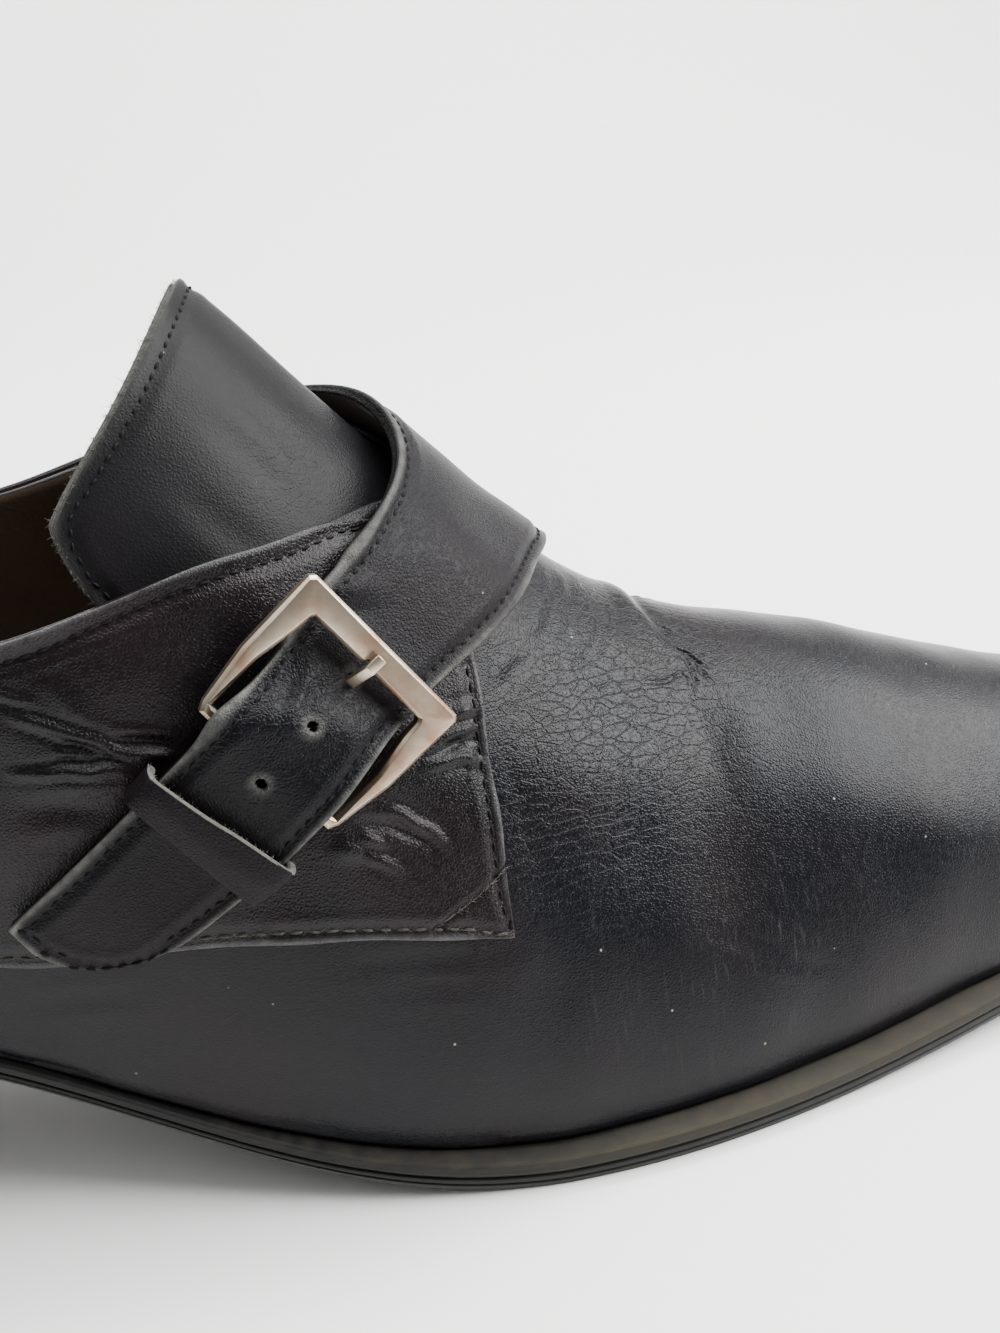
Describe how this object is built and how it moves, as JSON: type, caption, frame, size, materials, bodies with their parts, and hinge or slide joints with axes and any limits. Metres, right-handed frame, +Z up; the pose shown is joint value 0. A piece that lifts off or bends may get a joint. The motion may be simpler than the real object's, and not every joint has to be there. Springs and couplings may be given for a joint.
{
  "type": "monk strap heeled shoe",
  "caption": "Women's black leather right shoe with a tall tongue, a buckled strap over the instep, welted sole edge and block heel.",
  "frame": {"origin": "middle of the shoe's footprint, on the floor", "axes": "+X to the toe, +Y to the inner (medial) side, +Z up; the buckle is on the -Y side"},
  "size_m": [0.27, 0.086, 0.112],
  "materials": {
    "upper_leather": "smooth black leather, soft gloss",
    "lining": "matt brown lining",
    "sole_rubber": "matt dark grey",
    "sole_edge": "rubbed brownish edge",
    "heel_cover": "black covered block",
    "buckle_metal": "satin old silver"
  },
  "bodies": {
    "root": {"outsole": "sole_rubber", "midsole": "sole_edge", "heel": "heel_cover", "heel_top_lift": "sole_rubber", "insole": "lining", "upper": "upper_leather", "tongue": "upper_leather", "quarter_lateral": "upper_leather", "quarter_medial_strap": "upper_leather", "buckle_frame": "buckle_metal", "buckle_prong": "buckle_metal", "buckle_chape": "upper_leather", "keeper": "upper_leather"}
  },
  "joints": []
}
